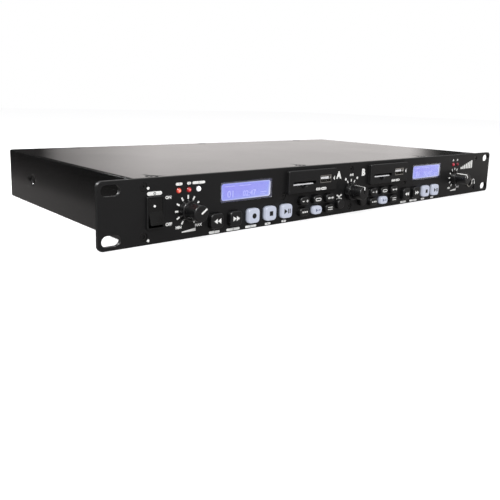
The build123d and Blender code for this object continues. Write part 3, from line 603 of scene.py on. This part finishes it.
media = {
    "face": -3.5, "centres": {"a": -55.1, "b": 47.5},
    "lip": (-22.9, -0.4), "lipZ": (7.72, 8.45), "lipDepth": (-3.1, -0.1),
    # from the bezel's centre: the card's tab and the stick's tab, and the arrow at the right
    "cardTab": (5.6, 3.0, 5.4, 2.1), "stickTab": (12.2, 3.0, 6.4, 2.1),
    "arrow": (24.4, 10.9), "arrowCorners": ((-0.9, 0), (0.9, -2.0), (0.9, 2.0)),
    "card": ((-1.3, -0.6), (1.3, -0.6), (1.3, 0.6), (-0.8, 0.6), (-1.3, 0.2)), "cardLine": 0.25,
    "stem": (12.2, 3.0, 3.0, 0.3), "plug": (13.9, 3.0, 0.9, 0.8), "knot": (10.6, 3.0, 0.4),
}
for deck, centre in media["centres"].items():
    # the pale lower lip of the card slot
    corners = [(centre + media["lip"][i], media["lipZ"][j]) for i, j in ((0, 0), (1, 0), (1, 1), (0, 1))]
    lip = solidOutline(corners, *media["lipDepth"])
    addPiece(f"card_slot_lip_{deck}", standing(lip), tongueWhite)

    cardX, cardZ, *cardSize = media["cardTab"]
    stickX, *stick = media["stickTab"]
    arrowX, arrowZ = media["arrow"]
    shapes = [tab(centre + cardX, cardZ, *cardSize), tab(centre + stickX, *stick),
              patch(centre + arrowX, arrowZ, media["arrowCorners"])]
    addPiece(f"media_printing_{deck}", onFront(shapes, media["face"]), inkWhite)

    # a card's outline, and a stick as a stem with a plug at one end and a knot at the other
    shapes = [line(centre + cardX, cardZ, media["card"], media["cardLine"], True)]
    shapes += [bar(centre + x, *size) for x, *size in (media["stem"], media["plug"])]
    knotX, *knot = media["knot"]
    shapes.append(disc(centre + knotX, *knot))
    addPiece(f"media_signs_{deck}", onFront(shapes, media["face"] - ink["proud"]), inkBlack)


# Signs on the keys. Each is drawn about the key's own centre, in mm.
def playTriangle(x, size):
    half = size * ink["arrowHalf"]
    return patch(x, 0, [(-size / 2, -half), (size / 2, 0), (-size / 2, half)])


def backTriangle(x, size):
    half = size * ink["arrowHalf"]
    return patch(x, 0, [(size / 2, -half), (size / 2, half), (-size / 2, 0)])


signs = {
    "rewind": lambda: [backTriangle(-1.6, 3.0), backTriangle(1.5, 3.0)],
    "forward": lambda: [playTriangle(-1.5, 3.0), playTriangle(1.6, 3.0)],
    "record": lambda: [disc(0, 0, 2.0)],
    "stop": lambda: [bar(0, 0, 3.5, 3.5)],
    "play": lambda: [playTriangle(-1.7, 3.4), bar(1.1, 0, 0.9, 3.6), bar(2.8, 0, 0.9, 3.6)],
    "function_1": lambda: [bar(-2.2, 0, 2.2, 0.7), bar(2.2, 0, 2.2, 0.7), bar(2.2, 0, 0.7, 2.2)],
    "function_2": lambda: [line(0, 0, np.concatenate([arcPath(1.0, 0, 180, 10) + (2.0, 0),
                                                      arcPath(1.0, 180, 360, 10) - (2.0, 0)]), 0.6, True)],
    "function_3": lambda: [bar(0, 0, 4.0, 0.6), patch(2.4, 0, [(-0.6, -1.1), (1.2, 0), (-0.6, 1.1)]),
                           patch(-2.4, 0, [(0.6, -1.1), (0.6, 1.1), (-1.2, 0)])],
    "function_4": lambda: [disc(-2.3, 0, 0.75), disc(0, 0, 0.75), disc(2.3, 0, 0.75)],
    "function_5": lambda: [playTriangle(-1.2, 2.2), bar(1.8, 0, 2.6, 0.7)],
    "function_6": lambda: [bar(0, 0.9, 5.6, 0.55), bar(0, -0.9, 5.6, 0.55)],
}
keys = {"face": -4.0, "transportZ": -11.8,
        "functionXs": {"a": -64.4, "b": 25.6}, "functionRows": (-5.7, -14.6), "functionPitch": 15.2}
keyPlaces = {}
for name, x in zip(("rewind_a", "forward_a", "record", "stop_a", "play_a"), panel["transportA"]):
    keyPlaces[name] = (x, keys["transportZ"])
for name, x in zip(("rewind_b", "forward_b", "stop_b", "play_b"), panel["transportB"]):
    keyPlaces[name] = (x, keys["transportZ"])
for deck, firstX in keys["functionXs"].items():
    for number in range(6):  # two rows of three
        place = (firstX + number % 3 * keys["functionPitch"], keys["functionRows"][number // 3])
        keyPlaces[f"function_{number + 1}{deck}"] = place
for body, (x, z) in keyPlaces.items():
    sign = next(kind for kind in signs if body.startswith(kind))
    coat = inkWhite
    if body in ("record", "stop_a", "stop_b", "play_a", "play_b"):
        coat = inkBlack
    if sign == "function_5":
        coat = inkBlue
    points, faces = onFront(signs[sign](), keys["face"])
    addPiece(f"sign_{body}", (points + (x, 0, z), faces), coat, body)

rocker = {"mark": (-202.3, 3.6), "face": -1.54, "radius": 0.85}
rockerDisc = disc(*rocker["mark"], rocker["radius"])
addPiece("rocker_mark", onFront([rockerDisc], rocker["face"]), inkWhite, "rocker")
print("scene: the printing is on")


# White pointers let into the knobs.
pointer = {
    "width": 1.26, "depth": 0.36, "proud": -0.02, "capRadius": 5.7, "gripRadius": 6.1, "edge": 0.7,
    "capY": -16.0, "gripY": -4.95, "flatTo": 3.8, "edgeSteps": 7,
    # body: (the knob's place, the turn in degrees at rest, the distance from the axis where it starts)
    "knobs": {"record_volume": ("recordKnob", 55.0, 0.0), "mix_selector": ("mixKnob", 0.0, 2.9),
              "phones_volume": ("phonesKnob", -33.0, 1.5)},
}


def makePointer(centre, turn, start, look):
    # A strip that runs over the cap to its edge, round the edge and down the grip. Its path is
    # (distance from the axis, y), and its section a rectangle square to that path.
    bend = np.linspace(0, np.pi / 2, look["edgeSteps"])
    corner = look["capRadius"] - look["edge"] + look["edge"] * np.sin(bend)
    radius = np.concatenate([[start, look["flatTo"]], corner, [look["gripRadius"]]])
    y = np.concatenate([[look["capY"]] * 2, look["capY"] + look["edge"] * (1 - np.cos(bend)),
                        [look["gripY"]]])
    half = look["width"] / 2
    points, faces = solidLine(np.stack([radius, y], 1), look["depth"], look["proud"], -half, half)
    away, y, across = points.T
    a = np.radians(turn)
    x = centre[0] + away * np.sin(a) + across * np.cos(a)
    z = centre[1] + away * np.cos(a) - across * np.sin(a)
    return np.stack([x, y, z], 1), faces


for body, (place, turn, start) in pointer["knobs"].items():
    addPiece(f"pointer_{body}", makePointer(panel[place], turn, start, pointer), inkWhite, body)


# Displays: a clear pane, a printed border behind it, the lit layer and its figures.
display = {
    "centres": {"a": -122.6, "b": 114.3}, "z": 7.4, "view": (47.2, 12.3), "border": 1.25, "corner": 1.45,
    "glass": (0.2, 1.0), "mask": (1.02, 1.5), "pictureY": 1.12, "pictureCorner": 2.0,
    "rows": 25, "columns": 97,
    "glow": {"base": 0.04, "down": 0.18, "across": 0.2, "rim": 0.62},
    # how the rim's light rises, as (share, power of the distance from the middle)
    "rises": {"ends": (0.8, 14), "rightEnd": (0.35, 40), "longEdges": (0.75, 7)},
    # (text, x, z, height, bold) and (x, z, width, height), from the middle of the view
    "figures": (("01", -14.8, -1.6, 5.2, 0.12), ("02:47", 2.6, -2.0, 4.2, 0.08)),
    "dashes": ((16.6, -2.4, 6.4, 0.6), (15.6, -3.9, 4.4, 0.6), (-16, 3.9, 9.0, 0.5), (-2, 3.9, 12.0, 0.5)),
}
# The lit layer gives blue light that pales to white at its rim. Where a figure stands, the crystal
# is cleared and more of the light comes through.
pictureGlow = weightedGlow("lit liquid crystal", {
    "colours": ("#8d83f6", "#96a0f8", "#f6f9ff"), "middle": 0.42, "strength": 0.9, "body": "#1a1a30",
    "roughness": 0.25, "ior": 1.5})
figureShade = grainFinish("clear liquid crystal segment", {
    "colours": ("#16162c", "#1a1a32"), "grain": 0.3, "mottle": 4, "relief": 0.02,
    "roughness": (0.25, 0.3), "emission": ("#b0b4fc", 0.95)})


def roundedOutline(width, height, corner, steps=8):  # corners are quarter circles, counter-clockwise
    a = np.linspace(0, np.pi / 2, steps)
    centres = np.array([(1, 1), (-1, 1), (-1, -1), (1, -1)]) * (width / 2 - corner, height / 2 - corner)
    arcs = [centre + corner * np.stack([np.cos(a + k * np.pi / 2), np.sin(a + k * np.pi / 2)], 1)
            for k, centre in enumerate(centres)]
    return np.concatenate(arcs)


def makePicture(look):
    # A thin slab whose front is a grid. Its glow rises at the edges, where the lamp strip's light
    # leaks in, and it grows a little towards the lower right.
    def rise(distance, where):
        share, power = look["rises"][where]
        return share * distance ** power

    x, z = np.meshgrid(np.linspace(-1, 1, look["columns"]), np.linspace(-1, 1, look["rows"]), indexing="xy")
    ends = rise(np.abs(x), "ends") + rise(np.clip(x, 0, 1), "rightEnd")
    rim = np.maximum(ends, rise(np.abs(z), "longEdges"))
    share = look["glow"]
    glow = share["base"] + share["down"] * (1 - z) / 2 + share["across"] * (x + 1) / 2 + share["rim"] * rim
    x, z = x * look["view"][0] / 2, z * look["view"][1] / 2
    skins = [np.stack([x, np.full_like(x, y), z], -1) for y in (look["pictureY"], look["mask"][1])]
    return *gridSlab(*skins), np.tile(np.clip(glow, 0, 1).ravel(), 2)


viewWidth, viewHeight = display["view"]
border = 2 * display["border"]
paneEdge = roundedOutline(viewWidth + border, viewHeight + border, display["corner"])
pictureEdge = roundedOutline(viewWidth, viewHeight, display["pictureCorner"])
figures = [letters(*figure) for figure in display["figures"]] + [bar(*dash) for dash in display["dashes"]]
glowPoints, glowFaces, glow = makePicture(display)
for deck, x in display["centres"].items():
    shift = (x, 0, display["z"])
    points, faces = standing(solidOutline(paneEdge, *display["glass"]))
    addPiece(f"display_pane_{deck}", (points + shift, faces), acrylic,
             replaces=["lcd_windows"])
    points, faces = standing(solidFrame(paneEdge, pictureEdge, *display["mask"]))  # the printed border
    addPiece(f"display_border_{deck}", (points + shift, faces), inkNavy)
    addPiece(f"display_picture_{deck}", (glowPoints + shift, glowFaces), pictureGlow,
             weights={"glow": glow})
    points, faces = onFront(figures, display["pictureY"])
    addPiece(f"display_figures_{deck}", (points + shift, faces), figureShade)
print("scene: displays are lit")


# Indicator lamps.
lamps = {
    "radius": 1.9, "domeCentre": 0.35, "bodyEnd": 8.0, "sides": 32, "rings": 12, "tip": 0.02,
    "lens": {"roughness": 0.12, "ior": 1.53},
    # tinted epoxy moulded round a chip: palest over the chip, and deep in colour at the rim
    "glows": {
        "bright_red": {"colours": ("#ffd9cc", "#f0705c", "#5c0d08"), "middle": 0.45, "strength": 1.15,
                       "body": "#7a1410"},
        "red": {"colours": ("#ffb4b0", "#c83a3c", "#3c0808"), "middle": 0.4, "strength": 1.0,
                "body": "#6e1210"},
        "white": {"colours": ("#ffffff", "#ffffff", "#707078"), "middle": 0.6, "strength": 1.5,
                  "body": "#b8b8bc"},
        "deep_red": {"colours": ("#e88894", "#b8243e", "#4c0a14"), "middle": 0.42, "strength": 1.1,
                     "body": "#5c0c14"},
        "dim_red": {"colours": ("#b04452", "#7c1626", "#30060c"), "middle": 0.45, "strength": 0.9,
                    "body": "#3c0a0c"},
    },
    "places": {"a1": "bright_red", "a2": "red", "a3": "white", "b1": "deep_red", "b2": "dim_red"},
}


def makeLamp(look):
    # A profile turned about the lamp's axis: a dome of the lens's own radius, then a straight body.
    # The weight is the distance from the axis, as a share of the radius.
    a = np.linspace(look["tip"], np.pi / 2, look["rings"])
    radius = np.concatenate([look["radius"] * np.sin(a), [look["radius"]]])
    y = np.concatenate([look["domeCentre"] - look["radius"] * np.cos(a), [look["bodyEnd"]]])
    turn = np.linspace(0, 2 * np.pi, look["sides"], endpoint=False)
    rings = np.stack([radius[:, None] * np.cos(turn), np.repeat(y[:, None], look["sides"], 1),
                      radius[:, None] * np.sin(turn)], -1)
    count = look["sides"] * len(radius)
    faces = gridFaces(len(radius), look["sides"], True)
    faces += [list(range(look["sides"]))[::-1], list(range(count - look["sides"], count))]
    return rings.reshape(-1, 3), faces, np.repeat(radius / look["radius"], look["sides"])


points, faces, away = makeLamp(lamps)
for (place, kind), x in zip(lamps["places"].items(), panel["lampXs"]):
    finish = dict(lamps["glows"][kind], **lamps["lens"])
    lens = weightedGlow(f"moulded epoxy lens {kind.replace('_', ' ')}", finish)
    addPiece(f"lamp_{place}", (points + (x, 0, panel["lampZ"]), faces), lens,
             replaces=["status_leds"], smooth=40, weights={"glow": away})
print("scene: indicator lamps are set")


# The back: collars in the phono sockets, and the letters over them.
back = {
    "face": 235.0, "socketXs": (-40.0, -20.0, 20.0, 40.0, 80.0, 100.0), "socketEnd": 242.5,
    "insulator": (1.6, 2.95), "collar": 0.35, "sides": 40,
    "titles": ("A", "B", "A+B"), "title": (14.2, 3.0, 0.1), "side": (-9.6, 2.2, 0.06),
    "bracketZ": 11.2, "bracket": ((-10, -1.6), (-10, 0), (10, 0), (10, -1.6)), "bracketLine": 0.4,
    "inlet": (-168.0, 15.6), "waveHalf": 4.0, "waveHeight": 1.1, "waveLine": 0.7, "waveSteps": 24,
}
a = np.linspace(0, 2 * np.pi, back["sides"], endpoint=False)
for row, (colour, coat) in enumerate((("white", tongueWhite), ("red", insulatorRed))):
    washers = []  # one round each phono pin of the row
    for x in back["socketXs"][row::2]:
        inner, outer = [np.stack([x + r * np.cos(a), r * np.sin(a)], 1) for r in back["insulator"]]
        end = back["socketEnd"]
        washers.append(standing(solidFrame(inner, outer, end, end + back["collar"])))
    addPiece(f"phono_collars_{colour}", joinShapes(washers), coat)

rearShapes = []
for pair, title in enumerate(back["titles"]):
    left, right = back["socketXs"][2 * pair:2 * pair + 2]
    middle = (left + right) / 2
    rearShapes.append(letters(title, -middle, *back["title"]))
    rearShapes += [letters("L", -left, *back["side"]), letters("R", -right, *back["side"])]
    rearShapes.append(line(-middle, back["bracketZ"], back["bracket"], back["bracketLine"]))
# one sine wave over the mains inlet
waveX = np.linspace(-back["waveHalf"], back["waveHalf"], back["waveSteps"])
wave = np.stack([waveX, back["waveHeight"] * np.sin(waveX * np.pi / back["waveHalf"])], 1)
rearShapes.append(line(-back["inlet"][0], back["inlet"][1], wave, back["waveLine"]))
addPiece("rear_printing", onBack(rearShapes, back["face"]), inkWhite)
print("scene: the back is finished")


# Camera, light and floor.
view = {
    "place": (-390.61, -314.22, 71.68),
    "azimuth": -40.75, "elevation": 9.83, "roll": 1.55,  # degrees
    "lens": 40.78, "shift": -0.1,  # the shift is a share of the picture's width
    "near": 10.0,
}


def facing(place, towards, roll=0.0):
    # the frame of a camera or a lamp, which looks along its own -Z: it stands at the place, has the
    # direction towards at its back, and is rolled about its line of sight
    right = np.cross((0, 0, 1), towards)
    right /= np.linalg.norm(right)
    up = np.cross(towards, right)
    turned = np.eye(4)
    turned[:3, 0] = np.cos(roll) * right + np.sin(roll) * up
    turned[:3, 1] = np.cos(roll) * up - np.sin(roll) * right
    turned[:3, 2] = towards
    turned[:3, 3] = np.array(place) * mm
    return Matrix(turned.tolist())


def makeCamera(look):
    a, e, roll = np.radians([look["azimuth"], look["elevation"], look["roll"]])
    towards = np.array([np.sin(a) * np.cos(e), -np.cos(a) * np.cos(e), np.sin(e)])
    data = bpy.data.cameras.new("camera")
    data.lens = look["lens"]
    data.shift_y = look["shift"]
    data.clip_start = look["near"] * mm
    camera = newObject("camera", data)
    camera.matrix_world = facing(look["place"], towards, roll)
    bpy.context.scene.camera = camera


makeCamera(view)

# Grey cards stand round the unit as flags. Only glossy surfaces see them, so they draw the dark and
# the light of the enamel. Each is a flat sheet: a corner, its two sides, and its greys along the
# first side, as (distance along it, grey). Where it darkens upwards, that is (height, share left).
studio = {
    "roomColour": "#ffffff", "room": 0.6, "seen": 1.0,
    "floorColour": "#c8c8c9", "floorGlow": 0.62, "floorZ": -22.02, "floorHalf": 4000.0,
    "cardSteps": (201, 26), "cardColour": "#fffaf8",
    "lamps": {
        "back_left": {"place": (-609, 747, 504), "size": 0.2, "power": 8.0},
        "left": {"place": (-1065, -165, 1050), "size": 0.3, "power": 25.0, "glossyOnly": True},
        "front": {"place": (-900, -1500, 1300), "size": 1.2, "power": 30.0},
    },
    "cards": {
        "table": {"corner": (-252, -1200, -21.9), "sides": ((1452, 0, 0), (0, 1900, 0)),
                  "greys": ((0, 0.30), (90, 0.34), (560, 0.36), (640, 0.7), (720, 1.0))},
        "left_floor": {"corner": (-1300, -1200, -21.9), "sides": ((1048, 0, 0), (0, 2100, 0)),
                       "greys": ((0, 0.02), (975, 0.03), (1032, 0.12), (1048, 0.30))},
        "behind_left": {"corner": (-1300, 900, -22), "sides": ((1360, 0, 0), (0, 0, 1000)),
                        "greys": ((0, 0.02), (1360, 0.03))},
        "behind_right": {"corner": (60, 900, -22), "sides": ((1240, 0, 0), (0, 0, 500)),
                         "greys": ((0, 0.03), (8, 0.10), (40, 0.36), (75, 0.47), (110, 0.58), (148, 0.67),
                                   (190, 0.80), (240, 0.92), (290, 1.0)),
                         "falls": ((190, 1.0), (290, 0.86), (370, 0.70), (500, 0.5))},
        "right": {"corner": (1300, 900, -22), "sides": ((0, -1397, 0), (0, 0, 500)),
                  "greys": ((0, 1.0), (90, 1.0), (125, 0.7), (155, 0.25), (185, 0.08), (205, 0.02))},
        "front_right": {"corner": (500, -1400, -22), "sides": ((1000, 900, 0), (0, 0, 900)),
                        "greys": ((0, 0.25),)},
    },
}


def makeCard(name, look):
    # The card's points are its corner plus s and t shares of its sides. Its grey changes evenly
    # from one given distance to the next.
    s, t = np.meshgrid(*[np.linspace(0, 1, steps) for steps in studio["cardSteps"]], indexing="ij")
    sides = np.array(look["sides"])
    points = np.array(look["corner"]) + s[..., None] * sides[0] + t[..., None] * sides[1]
    distance, grey = np.array(look["greys"]).T
    height, share = np.array(look.get("falls", ((0, 1.0),))).T
    greys = np.interp(s * np.linalg.norm(sides[0]), distance, grey)
    greys *= np.interp(t * np.linalg.norm(sides[1]), height, share)
    mesh = bpy.data.meshes.new(name)
    mesh.from_pydata((points.reshape(-1, 3) * mm).tolist(), [], gridFaces(*s.shape, False))
    mesh.attributes.new("grey", "FLOAT", "POINT").data.foreach_set("value", greys.ravel())
    paper, tree, shader = newMaterial(f"grey card {name}")
    tree.nodes.remove(shader)
    level = addNode(tree, "ShaderNodeAttribute", {"attribute_name": "grey"})
    light = addNode(tree, "ShaderNodeEmission", None,
                    {"Strength": level.outputs["Fac"], "Color": linear(studio["cardColour"])})
    tree.links.new(light.outputs[0], tree.nodes["Material Output"].inputs["Surface"])
    mesh.materials.append(paper)
    card = newObject(f"card_{name}", mesh)
    card.visible_camera = card.visible_diffuse = card.visible_shadow = card.visible_transmission = False


def seenDirectly(tree):  # 1 for what the camera, a mirror or a pane shows, 0 for lighting alone
    path = addNode(tree, "ShaderNodeLightPath")
    both = addNode(tree, "ShaderNodeMath", {"operation": "MAXIMUM"},
                   {0: path.outputs["Is Camera Ray"], 1: path.outputs["Is Glossy Ray"]})
    return addNode(tree, "ShaderNodeMath", {"operation": "MAXIMUM"},
                   {0: both.outputs[0], 1: path.outputs["Is Transmission Ray"]}).outputs[0]


def makeStudio(look):
    world = bpy.data.worlds.new("white room")
    bpy.context.scene.world = world
    world.use_nodes = True
    tree = world.node_tree
    strength = addNode(tree, "ShaderNodeMapRange", None,
                       {"Value": seenDirectly(tree), "To Min": look["room"], "To Max": look["seen"]})
    feed(tree, tree.nodes["Background"], {"Color": linear(look["roomColour"]),
                                          "Strength": strength.outputs["Result"]})

    floor, tree, shader = newMaterial("white paper floor")
    tree.nodes.remove(shader)
    paper = addNode(tree, "ShaderNodeBsdfDiffuse", None, {"Color": linear(look["floorColour"])})
    level = addNode(tree, "ShaderNodeMath", {"operation": "MULTIPLY"},
                    {0: seenDirectly(tree), 1: look["floorGlow"]})
    glow = addNode(tree, "ShaderNodeEmission", None, {"Strength": level.outputs[0]})
    lit = addNode(tree, "ShaderNodeAddShader", None, {0: paper.outputs[0], 1: glow.outputs[0]})
    under = addNode(tree, "ShaderNodeNewGeometry")  # from below the floor is clear
    clear = addNode(tree, "ShaderNodeBsdfTransparent")
    shown = addNode(tree, "ShaderNodeMixShader", None,
                    {0: under.outputs["Backfacing"], 1: lit.outputs[0], 2: clear.outputs[0]})
    tree.links.new(shown.outputs[0], tree.nodes["Material Output"].inputs["Surface"])

    half = look["floorHalf"]
    mesh = bpy.data.meshes.new("floor")
    corners = np.array([(-half, -half), (half, -half), (half, half), (-half, half)])
    points = np.column_stack([corners, np.full(4, look["floorZ"])])
    mesh.from_pydata((points * mm).tolist(), [], [[0, 1, 2, 3]])
    mesh.materials.append(floor)
    newObject("floor", mesh)

    for name, card in look["cards"].items():
        makeCard(name, card)

    for name, lamp in look["lamps"].items():
        data = bpy.data.lights.new(name, "AREA")
        data.size = lamp["size"]
        data.energy = lamp["power"]
        light = newObject(name, data)
        light.matrix_world = facing(lamp["place"], np.array(lamp["place"]) / np.linalg.norm(lamp["place"]))
        light.visible_diffuse = not lamp.get("glossyOnly", False)  # a glint only, with no fill


makeStudio(studio)
bpy.context.scene.view_settings.view_transform = "Standard"
print("scene: camera, light and floor are set")
